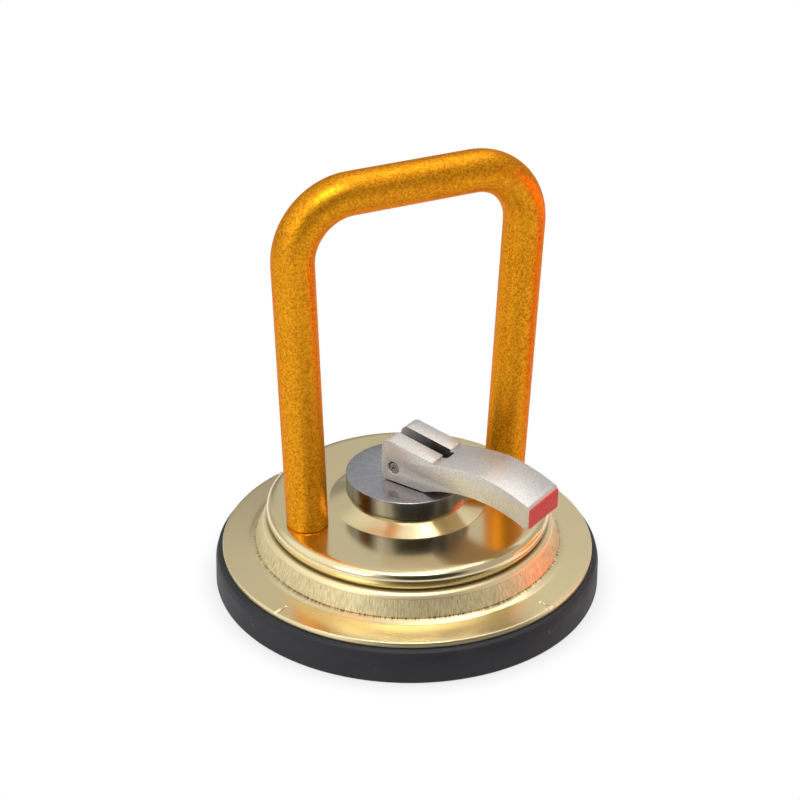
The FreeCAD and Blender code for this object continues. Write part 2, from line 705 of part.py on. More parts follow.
# Return spring between the plate in the rubber and the seat under the boss.
springLow = insertTop + s["springClear"]
springHigh = seatHigh - s["seatThick"] - s["springClear"]
springTall = springHigh - springLow
spring = doc.addObject("Part::Feature", "return_spring")
spring.Label = "return_spring"
wire = s["springWire"].value
rise = springTall.value - wire
helix = Part.makeHelix(rise / s["springTurns"].value, rise, s["springMean"].value)
section = Part.Wire([Part.makeCircle(wire / 2, Vector(s["springMean"].value, 0, 0),
                                     Vector(0, 1, 0))])
coil = Part.Wire(helix.Edges).makePipeShell([section], True, True)
spring.Shape = coil
spring.Placement = Placement(Vector(0, 0, springLow.value + wire / 2),
                             Rotation(Vector(0, 0, 1), 0))
pieces.append(spring)

# Cam lever: side profile, slot for the stud's tongue, pin hole.
lever = newBody("cam_lever", z=pinHigh, turn=s["leverTurn"])
under = -s["leverFace"]
slopeSin, slopeCos = sine(s["camSlope"]), cosine(s["camSlope"])
slopeTan = tangent(s["camSlope"])


# Height of the cheek tops over the pin at distance x.
def camTop(x):
    return s["camDistance"] / slopeCos - slopeTan * x


backX = -s["leverBack"]
backCentreX = backX + s["camBackRound"]
backCentreZ = (s["camDistance"] - s["camBackRound"] - backCentreX * slopeSin) / slopeCos
archStart = s["leverHeel"] + 1.6
archEnd = s["leverReach"] - s["leverTipFlat"]
archHalf = (archEnd - archStart) / 2
archRadius = (archHalf * archHalf + s["leverArch"] * s["leverArch"]) / (2 * s["leverArch"])
stepHigh = camTop(s["leverStep"])
armStart = stepHigh - s["leverStepDrop"]
crest = under + s["armCrestHeight"]
tipTop = under + s["leverTipHeight"]
leverSide = newSketch(lever, "LeverSide", "XZ_Plane")
drawOutline(leverSide, [
    (backX + s["camHeelRound"], under, s["camHeelRound"]),
    (archStart, under),
    (archEnd, under, -archRadius),
    (s["leverReach"], under),
    (s["leverReach"], tipTop),
    (s["leverReach"] - s["leverNose"] * 0.85, tipTop + s["leverNose"], s["leverNose"]),
    (s["armCrest"], crest, 52.0),
    (s["leverStep"], armStart, 85.0),
    (s["leverStep"], stepHigh),
    (backCentreX + s["camBackRound"] * slopeSin, backCentreZ + s["camBackRound"] * slopeCos),
    (backX, backCentreZ, s["camBackRound"]),
    (backX, under + s["camHeelRound"]),
])
padded(lever, leverSide, s["leverWidth"], "LeverBlock", middle=True)
slotHalf = s["tangThick"] / 2 + s["tangClear"]
slotSketch = newSketch(lever, "LeverSlot", "XY_Plane", under - 1)
drawOutline(slotSketch, [
    (backX - 2, -slotHalf),
    (s["slotEnd"] - s["slotEndRound"], -slotHalf),
    (s["slotEnd"], -slotHalf + s["slotEndRound"], s["slotEndRound"]),
    (s["slotEnd"], slotHalf - s["slotEndRound"]),
    (s["slotEnd"] - s["slotEndRound"], slotHalf, s["slotEndRound"]),
    (backX - 2, slotHalf),
])
pocketed(lever, slotSketch, s["leverFace"] * 2 + s["camDistance"] * 2, "Slot", reverse=True)
pinHole = newSketch(lever, "PinHole", "XZ_Plane")
drawCircle(pinHole, 0, 0, s["pinDiameter"] / 2 + s["pinPressClear"])
pocketed(lever, pinHole, s["leverWidth"] * 2, "PinBore", middle=True)

# Slotted spring pin through the cheeks and the stud's eye.
pin = newBody("lever_pin", z=pinHigh, turn=s["leverTurn"])
pinSketch = newSketch(pin, "PinRing", "XZ_Plane")
drawCircle(pinSketch, 0, 0, s["pinDiameter"] / 2)
drawCircle(pinSketch, 0, 0, s["pinDiameter"] / 2 - s["pinWall"])
padded(pin, pinSketch, s["leverWidth"] - s["pinShort"] * 2, "PinTube", middle=True)
slitSketch = newSketch(pin, "PinSlit", "XZ_Plane")
drawOutline(slitSketch, [
    (-s["pinSlit"] / 2, s["pinDiameter"] * 0.2), (s["pinSlit"] / 2, s["pinDiameter"] * 0.2),
    (s["pinSlit"] / 2, s["pinDiameter"]), (-s["pinSlit"] / 2, s["pinDiameter"]),
])
pocketed(pin, slitSketch, s["leverWidth"] * 2, "Slit", middle=True)

# Red plate on the tip of the lever.
marker = newBody("tip_marker", z=pinHigh, turn=s["leverTurn"])
markerSketch = newSketch(marker, "MarkerSide", "XZ_Plane")
drawOutline(markerSketch, [
    (s["leverReach"], under + s["markerLow"]),
    (s["leverReach"] + s["markerThick"], under + s["markerLow"]),
    (s["leverReach"] + s["markerThick"], tipTop),
    (s["leverReach"], tipTop),
])
padded(marker, markerSketch, s["leverWidth"], "MarkerPlate", middle=True)

doc.recompute()

# Nothing is written unless every object is sound.
for item in doc.Objects:
    if "Invalid" in item.State or "Error" in item.State:
        raise RuntimeError(f"{item.Label} is {item.State}")
for piece in pieces:
    if piece.Shape.isNull() or not piece.Shape.isValid():
        raise RuntimeError(f"{piece.Label} has no sound shape")

os.makedirs("parts", exist_ok=True)
for piece in pieces:
    piece.Shape.exportStep(f"parts/{piece.Label}.step")
    box = piece.Shape.BoundBox
    print(f"{piece.Label}: {len(piece.Shape.Solids)} solid(s), volume {piece.Shape.Volume:.1f}, "
          f"z {box.ZMin:.2f} to {box.ZMax:.2f}")
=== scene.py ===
import json
import math

import bmesh
import bpy
from mathutils import Matrix, Vector


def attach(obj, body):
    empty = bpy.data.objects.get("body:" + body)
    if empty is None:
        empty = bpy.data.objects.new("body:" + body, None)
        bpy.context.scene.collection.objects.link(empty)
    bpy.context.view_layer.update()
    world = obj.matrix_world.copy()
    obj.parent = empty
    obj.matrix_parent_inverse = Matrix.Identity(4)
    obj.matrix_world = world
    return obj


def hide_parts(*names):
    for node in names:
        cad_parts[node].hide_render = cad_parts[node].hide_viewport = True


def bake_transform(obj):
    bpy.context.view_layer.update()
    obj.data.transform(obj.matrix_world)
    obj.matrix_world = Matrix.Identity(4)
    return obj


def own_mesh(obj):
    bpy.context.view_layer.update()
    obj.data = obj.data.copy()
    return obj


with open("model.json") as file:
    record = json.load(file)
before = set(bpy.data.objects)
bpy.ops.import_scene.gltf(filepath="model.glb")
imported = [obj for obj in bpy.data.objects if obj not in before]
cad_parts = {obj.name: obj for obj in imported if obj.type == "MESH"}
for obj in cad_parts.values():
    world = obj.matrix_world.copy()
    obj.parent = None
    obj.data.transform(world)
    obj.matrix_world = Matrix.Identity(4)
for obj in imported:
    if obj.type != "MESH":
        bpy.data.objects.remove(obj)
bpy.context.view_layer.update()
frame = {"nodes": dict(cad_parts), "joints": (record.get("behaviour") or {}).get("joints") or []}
nodes = frame["nodes"]
joints = {j["name"]: j for j in frame["joints"]}
mm = 0.001
flip = joints["lever_flip"]
pinHigh = flip["pos_m"][2] / mm
leverTurn = math.atan2(flip["axis"][0], -flip["axis"][1])
print("frame loaded:", len(nodes), "solids")


# camera, at the photograph's height and distance
camera = {
    "place": (-0.24819, -0.47241, 0.34665),
    "turn": (61.8746, -0.5817, -27.1065),
    "lens": 90.0,
}
camData = bpy.data.cameras.new("camera")
camData.lens = camera["lens"]
camData.sensor_width = 36.0
camData.clip_start = 0.01
camObject = bpy.data.objects.new("camera", camData)
camObject.location = camera["place"]
camObject.rotation_euler = [math.radians(a) for a in camera["turn"]]
bpy.context.scene.collection.objects.link(camObject)
bpy.context.scene.camera = camObject
bpy.context.scene.view_settings.view_transform = "Standard"
print("camera placed")


# small tools for making meshes

def meshObject(name, verts, faces, smooth=True):
    mesh = bpy.data.meshes.new(name)
    mesh.from_pydata([tuple(v) for v in verts], [], faces)
    mesh.update()
    if smooth:
        mesh.polygons.foreach_set("use_smooth", [True] * len(mesh.polygons))
    piece = bpy.data.objects.new(name, mesh)
    bpy.context.scene.collection.objects.link(piece)
    return piece


# corners with a third number get a round of that radius
def roundedLine(points, steps=6):
    out = []
    count = len(points)
    for i, p in enumerate(points):
        x, z = p[0], p[1]
        r = p[2] if len(p) > 2 else 0
        if r <= 0 or i == 0 or i == count - 1:
            out.append((x, z))
            continue
        a = Vector((points[i - 1][0] - x, points[i - 1][1] - z))
        b = Vector((points[i + 1][0] - x, points[i + 1][1] - z))
        la, lb = a.length, b.length
        a.normalize()
        b.normalize()
        half = a.angle(b) / 2
        if half > math.radians(89.5):
            out.append((x, z))
            continue
        back = min(r / math.tan(half), la * 0.49, lb * 0.49)
        r = back * math.tan(half)
        middle = (a + b).normalized() * (r / math.sin(half))
        start, end = a * back - middle, b * back - middle
        sweep = start.angle_signed(end)
        for k in range(steps + 1):
            turn = Matrix.Rotation(-sweep * k / steps, 2)
            q = turn @ start + middle
            out.append((x + q.x, z + q.y))
    return out


# a closed outline of radius and height, turned about the middle
def lathe(name, line, around=192, bend=None):
    verts, faces, rings = [], [], []
    for r, z in line:
        if r < 1e-6:
            rings.append([len(verts)])
            verts.append((0, 0, z * mm))
            continue
        ring = []
        for k in range(around):
            a = 2 * math.pi * k / around
            rr, zz = (r, z) if bend is None else bend(r, z, a)
            ring.append(len(verts))
            verts.append((rr * math.cos(a) * mm, rr * math.sin(a) * mm, zz * mm))
        rings.append(ring)
    pairs = list(zip(rings, rings[1:] + rings[:1]))
    for low, high in pairs:
        if len(low) == 1 and len(high) == 1:
            continue
        for k in range(around):
            n = (k + 1) % around
            if len(low) == 1:
                faces.append((low[0], high[n], high[k]))
            elif len(high) == 1:
                faces.append((low[k], low[n], high[0]))
            else:
                faces.append((low[k], low[n], high[n], high[k]))
    piece = meshObject(name, verts, faces)
    fixNormals(piece)
    return piece


def fixNormals(piece):
    work = bmesh.new()
    work.from_mesh(piece.data)
    bmesh.ops.remove_doubles(work, verts=work.verts, dist=1e-7)
    bmesh.ops.recalc_face_normals(work, faces=work.faces)
    work.to_mesh(piece.data)
    work.free()


def creaseAngle(piece, degrees=35):
    piece.data.set_sharp_from_angle(angle=math.radians(degrees))


def applyModifiers(piece):
    graph = bpy.context.evaluated_depsgraph_get()
    mesh = bpy.data.meshes.new_from_object(piece.evaluated_get(graph))
    piece.modifiers.clear()
    old = piece.data
    piece.data = mesh
    bpy.data.meshes.remove(old)


# materials

def newMaterial(name):
    mat = bpy.data.materials.new(name)
    mat.use_nodes = True
    tree = mat.node_tree
    shader = tree.nodes["Principled BSDF"]
    return mat, tree, shader


def addNode(tree, kind, **values):
    node = tree.nodes.new(kind)
    for key, value in values.items():
        setattr(node, key, value)
    return node


def mathNode(tree, operation, a, b=None):
    node = addNode(tree, "ShaderNodeMath", operation=operation)
    for slot, value in ((0, a), (1, b)):
        if value is None:
            continue
        if isinstance(value, (int, float)):
            node.inputs[slot].default_value = value
        else:
            tree.links.new(value, node.inputs[slot])
    return node.outputs[0]


def objectPlace(tree):
    where = addNode(tree, "ShaderNodeTexCoord")
    return where.outputs["Object"]


def noise(tree, place, scale, detail=2.0, rough=0.5):
    node = addNode(tree, "ShaderNodeTexNoise")
    tree.links.new(place, node.inputs["Vector"])
    node.inputs["Scale"].default_value = scale
    node.inputs["Detail"].default_value = detail
    node.inputs["Roughness"].default_value = rough
    return node.outputs["Fac"]


def spread(tree, value, fromLow, fromHigh, toLow, toHigh):
    node = addNode(tree, "ShaderNodeMapRange")
    tree.links.new(value, node.inputs["Value"])
    for key, number in (("From Min", fromLow), ("From Max", fromHigh),
                        ("To Min", toLow), ("To Max", toHigh)):
        node.inputs[key].default_value = number
    return node.outputs["Result"]


def mixColour(tree, fac, a, b):
    node = addNode(tree, "ShaderNodeMix", data_type="RGBA")
    if isinstance(fac, (int, float)):
        node.inputs[0].default_value = fac
    else:
        tree.links.new(fac, node.inputs[0])
    for slot, value in ((6, a), (7, b)):
        if isinstance(value, tuple):
            node.inputs[slot].default_value = (*value, 1.0)
        else:
            tree.links.new(value, node.inputs[slot])
    return node.outputs[2]


def bump(tree, height, distance, strength=1.0, normal=None):
    node = addNode(tree, "ShaderNodeBump")
    node.inputs["Strength"].default_value = strength
    node.inputs["Distance"].default_value = distance
    tree.links.new(height, node.inputs["Height"])
    if normal is not None:
        tree.links.new(normal, node.inputs["Normal"])
    return node.outputs["Normal"]


# distance from the middle, height, and the two flat directions
def polar(tree, place):
    parts = addNode(tree, "ShaderNodeSeparateXYZ")
    tree.links.new(place, parts.inputs[0])
    x, y, z = parts.outputs
    radius = mathNode(tree, "SQRT", mathNode(
        tree, "ADD", mathNode(tree, "MULTIPLY", x, x), mathNode(tree, "MULTIPLY", y, y)))
    return radius, z, x, y


def vector(tree, x, y, z):
    node = addNode(tree, "ShaderNodeCombineXYZ")
    for slot, value in enumerate((x, y, z)):
        if isinstance(value, (int, float)):
            node.inputs[slot].default_value = value
        else:
            tree.links.new(value, node.inputs[slot])
    return node.outputs[0]


# gold plating of the dome: satin flange, streaky wall, bright flat top
plating = {
    "colour": (0.90, 0.74, 0.40),
    "paler": (0.89, 0.76, 0.47),
    "roughTop": 0.17,
    "roughWall": 0.45,
    "roughShoulder": 0.40,
    "roughFlange": 0.24,
    "satinMetal": 0.80,
    "streaks": 110.0,
    "rings": 5200.0,
    "streakTint": (0.46, 0.38, 0.22),
    # painted reflection line at the top of the wall
    "reflectionLineTint": (0.20, 0.15, 0.07),
    # painted shade at the foot of the wall
    "footShadeTint": (0.10, 0.08, 0.04),
    # painted shade in the groove
    "grooveShadeTint": (0.035, 0.025, 0.012),
}


def goldPlating():
    mat, tree, shader = newMaterial("goldPlating")
    place = objectPlace(tree)
    radius, z, x, y = polar(tree, place)
    # streaks run down the wall, so the noise is fine around and long up and down
    cx = mathNode(tree, "DIVIDE", x, radius)
    cy = mathNode(tree, "DIVIDE", y, radius)
    around = vector(tree, cx, cy, mathNode(tree, "MULTIPLY", z, 4.0))
    streak = noise(tree, around, plating["streaks"], 4.0, 0.6)
    ringed = vector(tree, mathNode(tree, "MULTIPLY", radius, plating["rings"]),
                    mathNode(tree, "MULTIPLY", cx, 1.5), mathNode(tree, "MULTIPLY", cy, 1.5))
    ring = noise(tree, ringed, 1.0, 2.0, 0.5)
    cloud = noise(tree, place, 60.0, 3.0, 0.5)
    # the wall lies between the shoulder and the flange; its upper end wanders a little
    ragged = spread(tree, noise(tree, vector(tree, cx, cy, 0.0), 55.0, 3.0, 0.6), 0.2, 0.8,
                    -0.00022, 0.00022)
    height = mathNode(tree, "ADD", z, ragged)
    onWall = mathNode(tree, "MULTIPLY", spread(tree, height, 0.0192, 0.0195, 1.0, 0.0),
                      spread(tree, z, 0.0138, 0.0144, 0.0, 1.0))
    # painted reflection: a thin dark wavy line along the top of the wall
    reflectionLine = mathNode(tree, "MULTIPLY", spread(tree, height, 0.01935, 0.01945, 0.0, 0.6),
                      spread(tree, height, 0.01945, 0.01960, 1.0, 0.0))
    colour = mixColour(tree, cloud, plating["colour"], plating["paler"])
    tint = mathNode(tree, "MULTIPLY", spread(tree, streak, 0.38, 0.66, 0.0, 0.75), onWall)
    colour = mixColour(tree, tint, colour, plating["streakTint"])
    # painted shade in the corner at the foot of the wall, broken into dashes by the streaks
    shadeDashes = spread(tree, streak, 0.45, 0.6, 0.0, 0.8)
    colour = mixColour(tree, reflectionLine, colour, plating["reflectionLineTint"])
    footShade = mathNode(tree, "MULTIPLY", spread(tree, z, 0.0139, 0.0142, 0.0, 1.0),
                    spread(tree, z, 0.0144, 0.0148, 1.0, 0.0))
    colour = mixColour(tree, mathNode(tree, "MULTIPLY", footShade, shadeDashes), colour,
                       plating["footShadeTint"])
    onShoulder = mathNode(tree, "MULTIPLY", spread(tree, z, 0.0192, 0.0196, 0.0, 1.0),
                          spread(tree, z, 0.0211, 0.0214, 1.0, 0.0))
    # painted shade in the groove between the bead and the shoulder
    grooveShade = mathNode(tree, "MULTIPLY", spread(tree, z, 0.0209, 0.0211, 0.0, 0.55),
                    spread(tree, z, 0.0213, 0.0216, 1.0, 0.0))
    colour = mixColour(tree, grooveShade, colour, plating["grooveShadeTint"])
    tree.links.new(colour, shader.inputs["Base Color"])
    ground = spread(tree, z, 0.0136, 0.0142, plating["roughFlange"], plating["roughTop"])
    rough = mathNode(tree, "ADD", ground, spread(
        tree, onWall, 0.0, 1.0, 0.0, plating["roughWall"] - plating["roughTop"]))
    rough = mathNode(tree, "ADD", rough, spread(
        tree, onShoulder, 0.0, 1.0, 0.0, plating["roughShoulder"] - plating["roughTop"]))
    rough = mathNode(tree, "ADD", rough, mathNode(
        tree, "MULTIPLY", mathNode(tree, "SUBTRACT", ring, 0.5), 0.08))
    tree.links.new(rough, shader.inputs["Roughness"])
    # the cut edge of the sheet is satin too
    cut = mathNode(tree, "MULTIPLY", spread(tree, radius, 0.0574, 0.0577, 0.0, 1.0),
                   spread(tree, z, 0.0122, 0.0126, 1.0, 0.0))
    satin = mathNode(tree, "MAXIMUM", mathNode(tree, "MAXIMUM", onWall, onShoulder), cut)
    tree.links.new(spread(tree, satin, 0.0, 1.0, 1.0, plating["satinMetal"]),
                   shader.inputs["Metallic"])
    first = bump(tree, ring, 0.00001, 0.25)
    second = bump(tree, mathNode(tree, "MULTIPLY", streak, onWall), 0.00008, 0.5, first)
    tree.links.new(second, shader.inputs["Normal"])
    return mat


# orange-gold paint of the handle, a fine metallic grain
barPaint = {
    "colour": (0.87, 0.375, 0.013),
    "deep": (0.46, 0.120, 0.003),
    "rough": 0.35,
    "metal": 0.75,
    "grain": 2600.0,
    "grainHeight": 0.00011,
    "flakes": 1500.0,
    "cloudTint": (0.78, 0.36, 0.016),
    "sheen": (1.0, 0.45, 0.05, 1),
}


def handlePaint():
    mat, tree, shader = newMaterial("handlePaint")
    place = objectPlace(tree)
    grain = noise(tree, place, barPaint["grain"], 2.0, 0.7)
    coarse = noise(tree, place, barPaint["flakes"], 2.0, 0.6)
    cloud = noise(tree, place, 45.0, 2.0, 0.5)
    colour = mixColour(tree, spread(tree, coarse, 0.38, 0.66, 0.0, 0.9),
                       barPaint["colour"], barPaint["deep"])
    colour = mixColour(tree, spread(tree, cloud, 0.4, 0.7, 0.0, 0.25), colour,
                       barPaint["cloudTint"])
    tree.links.new(colour, shader.inputs["Base Color"])
    rough = spread(tree, grain, 0.3, 0.7, barPaint["rough"] - 0.06, barPaint["rough"] + 0.08)
    tree.links.new(rough, shader.inputs["Roughness"])
    shader.inputs["Metallic"].default_value = barPaint["metal"]
    shader.inputs["Specular Tint"].default_value = barPaint["sheen"]
    tree.links.new(bump(tree, grain, barPaint["grainHeight"], 0.6), shader.inputs["Normal"])
    return mat


# blasted casting of the lever
casting = {
    "colour": (0.78, 0.76, 0.725),
    "shade": (0.54, 0.52, 0.485),
    "rough": 0.48,
    "grain": 3300.0,
    "pits": 1500.0,
    "metal": 0.85,
    # worn edges, painted light so that they also stand as edge highlights
    "wornHighlightColours": ((0.80, 0.79, 0.78), (0.97, 0.97, 0.96)),
    # colours of the painted shade deep in the slot
    "slotShadeColours": ((0.020, 0.018, 0.017), (0.075, 0.068, 0.062)),
    "slotMouth": (0.40, 0.39, 0.38),
}


def blastedCasting():
    mat, tree, shader = newMaterial("blastedCasting")
    place = objectPlace(tree)
    grain = noise(tree, place, casting["grain"], 3.0, 0.65)
    pits = noise(tree, place, casting["pits"], 2.0, 0.6)
    colour = mixColour(tree, spread(tree, grain, 0.38, 0.62, 0.0, 1.0),
                       casting["shade"], casting["colour"])
    tree.links.new(colour, shader.inputs["Base Color"])
    tree.links.new(spread(tree, pits, 0.3, 0.7, casting["rough"] - 0.08,
                          casting["rough"] + 0.1), shader.inputs["Roughness"])
    shader.inputs["Metallic"].default_value = casting["metal"]
    first = bump(tree, grain, 0.00006, 0.7)
    tree.links.new(bump(tree, pits, 0.00008, 0.4, first), shader.inputs["Normal"])
    return mat


# rubbed edges of the casting, painted near-white so that they also stand as edge highlights
def wornHighlightMetal():
    mat, tree, shader = newMaterial("wornEdgeHighlight")
    place = objectPlace(tree)
    scuff = noise(tree, place, 900.0, 3.0, 0.6)
    tree.links.new(mixColour(tree, spread(tree, scuff, 0.35, 0.65, 0.0, 1.0),
                             *casting["wornHighlightColours"]),
                   shader.inputs["Base Color"])
    tree.links.new(spread(tree, scuff, 0.3, 0.7, 0.3, 0.42), shader.inputs["Roughness"])
    shader.inputs["Metallic"].default_value = 0.5
    return mat


# painted shade in the slot, paler toward its open end
def slotShadeMaterial():
    mat, tree, shader = newMaterial("slotShade")
    place = objectPlace(tree)
    shadeMottle = noise(tree, place, 500.0, 3.0, 0.6)
    along = addNode(tree, "ShaderNodeVectorMath", operation="DOT_PRODUCT")
    tree.links.new(place, along.inputs[0])
    along.inputs[1].default_value = (math.cos(leverTurn), math.sin(leverTurn), 0.0)
    dark = mixColour(tree, spread(tree, shadeMottle, 0.35, 0.7, 0.0, 1.0),
                     *casting["slotShadeColours"])
    paler = spread(tree, along.outputs["Value"], -0.003, 0.008, 0.85, 0.0)
    tree.links.new(mixColour(tree, paler, dark, casting["slotMouth"]),
                   shader.inputs["Base Color"])
    tree.links.new(spread(tree, shadeMottle, 0.3, 0.7, 0.5, 0.65), shader.inputs["Roughness"])
    shader.inputs["Metallic"].default_value = 0.2
    return mat


# turned and ground steel of the puck
turning = {
    "rayColours": ((0.40, 0.41, 0.44), (0.52, 0.52, 0.54)),
    "speckle": (0.30, 0.30, 0.32),
    # darker tone painted on the puck's side for its reflections
    "side": (0.12, 0.12, 0.12),
    "rings": 3600.0,
    "rough": 0.22,
}


def turnedSteel():
    mat, tree, shader = newMaterial("turnedSteel")
    place = objectPlace(tree)
    radius, z, x, y = polar(tree, place)
    cx = mathNode(tree, "DIVIDE", x, radius)
    cy = mathNode(tree, "DIVIDE", y, radius)
    ringed = vector(tree, mathNode(tree, "MULTIPLY", radius, turning["rings"]),
                    mathNode(tree, "MULTIPLY", cx, 2.0), mathNode(tree, "MULTIPLY", cy, 2.0))
    ring = noise(tree, ringed, 1.0, 3.0, 0.6)
    rays = noise(tree, vector(tree, cx, cy, 0.0), 14.0, 4.0, 0.65)
    fine = noise(tree, place, 1400.0, 2.0, 0.6)
    colour = mixColour(tree, spread(tree, rays, 0.35, 0.65, 0.0, 1.0),
                       *turning["rayColours"])
    colour = mixColour(tree, spread(tree, fine, 0.4, 0.7, 0.0, 0.4), colour,
                       turning["speckle"])
    # painted reflection: the side of the puck is darkened, more in some broad bands around it than
    # in others
    reflectionBands = noise(tree, vector(tree, cx, cy, 0.0), 2.6, 2.0, 0.5)
    sideReflectionMask = mathNode(tree, "MULTIPLY", spread(tree, radius, 0.01915, 0.01925, 0.0, 1.0),
                      spread(tree, reflectionBands, 0.38, 0.62, 0.95, 0.5))
    colour = mixColour(tree, sideReflectionMask, colour, turning["side"])
    tree.links.new(colour, shader.inputs["Base Color"])
    tree.links.new(spread(tree, ring, 0.3, 0.7, turning["rough"] - 0.05,
                          turning["rough"] + 0.07), shader.inputs["Roughness"])
    shader.inputs["Metallic"].default_value = 1.0
    shader.inputs["Anisotropic"].default_value = 0.4
    tree.links.new(bump(tree, ring, 0.00001, 0.35), shader.inputs["Normal"])
    return mat


# black moulded rubber
rubber = {
    "colour": (0.020, 0.020, 0.024),
    "bloom": (0.034, 0.034, 0.039),
    "speck": (0.20, 0.20, 0.21),
    "rough": 0.5,
}


def mouldedRubber():
    mat, tree, shader = newMaterial("mouldedRubber")
    place = objectPlace(tree)
    fine = noise(tree, place, 1500.0, 2.0, 0.5)
    cloud = noise(tree, place, 70.0, 4.0, 0.6)
    specks = noise(tree, place, 520.0, 1.0, 0.5)
    colour = mixColour(tree, spread(tree, cloud, 0.4, 0.75, 0.0, 0.6),
                       rubber["colour"], rubber["bloom"])
    colour = mixColour(tree, spread(tree, specks, 0.76, 0.82, 0.0, 0.4), colour,
                       rubber["speck"])
    tree.links.new(colour, shader.inputs["Base Color"])
    tree.links.new(spread(tree, cloud, 0.3, 0.7, rubber["rough"] - 0.08,
                          rubber["rough"] + 0.1), shader.inputs["Roughness"])
    shader.inputs["Specular IOR Level"].default_value = 0.28
    tree.links.new(bump(tree, fine, 0.00003, 0.5), shader.inputs["Normal"])
    return mat


# red enamel on the lever's tip
enamel = {"colour": (0.56, 0.030, 0.022), "paler": (0.66, 0.060, 0.045), "rough": 0.45}


def redEnamel():
    mat, tree, shader = newMaterial("redEnamel")
    place = objectPlace(tree)
    cloud = noise(tree, place, 400.0, 2.0, 0.5)
    colour = mixColour(tree, spread(tree, cloud, 0.3, 0.7, 0.0, 1.0),
                       enamel["colour"], enamel["paler"])
    shader.inputs["Specular IOR Level"].default_value = 0.2
    tree.links.new(colour, shader.inputs["Base Color"])
    tree.links.new(spread(tree, cloud, 0.3, 0.7, enamel["rough"] - 0.05,
                          enamel["rough"] + 0.05), shader.inputs["Roughness"])
    tree.links.new(bump(tree, cloud, 0.00004, 0.3), shader.inputs["Normal"])
    return mat


# plain metals of the small and hidden pieces
plainMetals = {
    "zincSteel": ((0.62, 0.63, 0.65), 0.34),
    "oiledSteel": ((0.16, 0.16, 0.17), 0.38),
    "bearingBronze": ((0.60, 0.42, 0.22), 0.32),
}


def plainMetal(name):
    colour, rough = plainMetals[name]
    mat, tree, shader = newMaterial(name)
    place = objectPlace(tree)
    cloud = noise(tree, place, 350.0, 3.0, 0.5)
    darker = tuple(c * 0.75 for c in colour)
    tree.links.new(mixColour(tree, spread(tree, cloud, 0.35, 0.7, 0.0, 1.0), colour, darker),
                   shader.inputs["Base Color"])
    tree.links.new(spread(tree, cloud, 0.3, 0.7, rough - 0.06, rough + 0.08),
                   shader.inputs["Roughness"])
    shader.inputs["Metallic"].default_value = 1.0
    tree.links.new(bump(tree, cloud, 0.00002, 0.3), shader.inputs["Normal"])
    return mat


def darkWasher():
    mat, tree, shader = newMaterial("darkWasher")
    place = objectPlace(tree)
    cloud = noise(tree, place, 600.0, 2.0, 0.5)
    tree.links.new(mixColour(tree, cloud, (0.012, 0.012, 0.014), (0.03, 0.03, 0.032)),
                   shader.inputs["Base Color"])
    tree.links.new(spread(tree, cloud, 0.3, 0.7, 0.5, 0.65), shader.inputs["Roughness"])
    return mat


gold = goldPlating()
paint = handlePaint()
cast = blastedCasting()
wornEdgeHighlight = wornHighlightMetal()
slotShade = slotShadeMaterial()
steel = turnedSteel()
black = mouldedRubber()
red = redEnamel()
zinc = plainMetal("zincSteel")
oiled = plainMetal("oiledSteel")
bronze = plainMetal("bearingBronze")
washerDark = darkWasher()
print("materials made")


def dress(piece, mat):
    piece.data.materials.clear()
    piece.data.materials.append(mat)


# points on an arc from a to b; the sign says to which side it bulges
def arcTo(a, b, radius, steps):
    a, b = Vector(a), Vector(b)
    half = (b - a).length / 2
    r = abs(radius)
    rise = r - math.sqrt(max(r * r - half * half, 0))
    side = Vector(((b - a).y, -(b - a).x)).normalized() * (1 if radius > 0 else -1)
    middle = (a + b) / 2
    centre = middle - side * (r - rise)
    startAngle = math.atan2(a.y - centre.y, a.x - centre.x)
    endAngle = math.atan2(b.y - centre.y, b.x - centre.x)
    sweep = (endAngle - startAngle + math.pi) % (2 * math.pi) - math.pi
    return [(centre.x + r * math.cos(startAngle + sweep * k / steps),
             centre.y + r * math.sin(startAngle + sweep * k / steps))
            for k in range(1, steps + 1)]


# dome plate: one pressing, sheet 1.8 thick
dome = {
    "boss": [(7.08, 30.1), (18.4, 30.1, 0.7), (24.2, 27.1, 0.8), (41.3, 27.1)],
    "bead": [(43.95, 24.3, -2.75), (42.95, 21.5, -4.2)],
    "groove": [(42.2, 21.3), (42.75, 21.05)],
    "shoulder": [(45.35, 19.55, -2.1)],
    "skirt": [(45.35, 19.55), (47.45, 14.55), (47.25, 14.25), (47.7, 14.2), (49.6, 13.35, 2.2),
              (57.8, 12.7, 0.35), (57.8, 11.0, 0.2), (57.4, 10.95)],
    "inner": [(57.4, 10.95), (49.2, 11.5, 0.8), (45.7, 13.9, 1.0), (43.8, 18.6, 1.0),
              (40.7, 21.5, 0.8), (40.9, 25.3, 1.0), (23.74, 25.3, 0.6), (17.94, 28.3, 0.5),
              (7.08, 28.3)],
    "edgeTop": 12.7,
    "rootTop": 13.35,
    "creaseTurn": 20.5,
    "creaseFrom": 54.2,
    "creaseDeep": 0.35,
    "creaseHalf": 0.33,
    "creaseFade": 1.2,
    "creaseLip": 0.08,
    "dotPlace": 53.6,
    "dotHigh": 0.35,
    "dotRadius": 0.62,
    "slopeFrom": 49.5,
    "slopeTo": 57.8,
    "around": 720,
    "longest": 1.5,
}


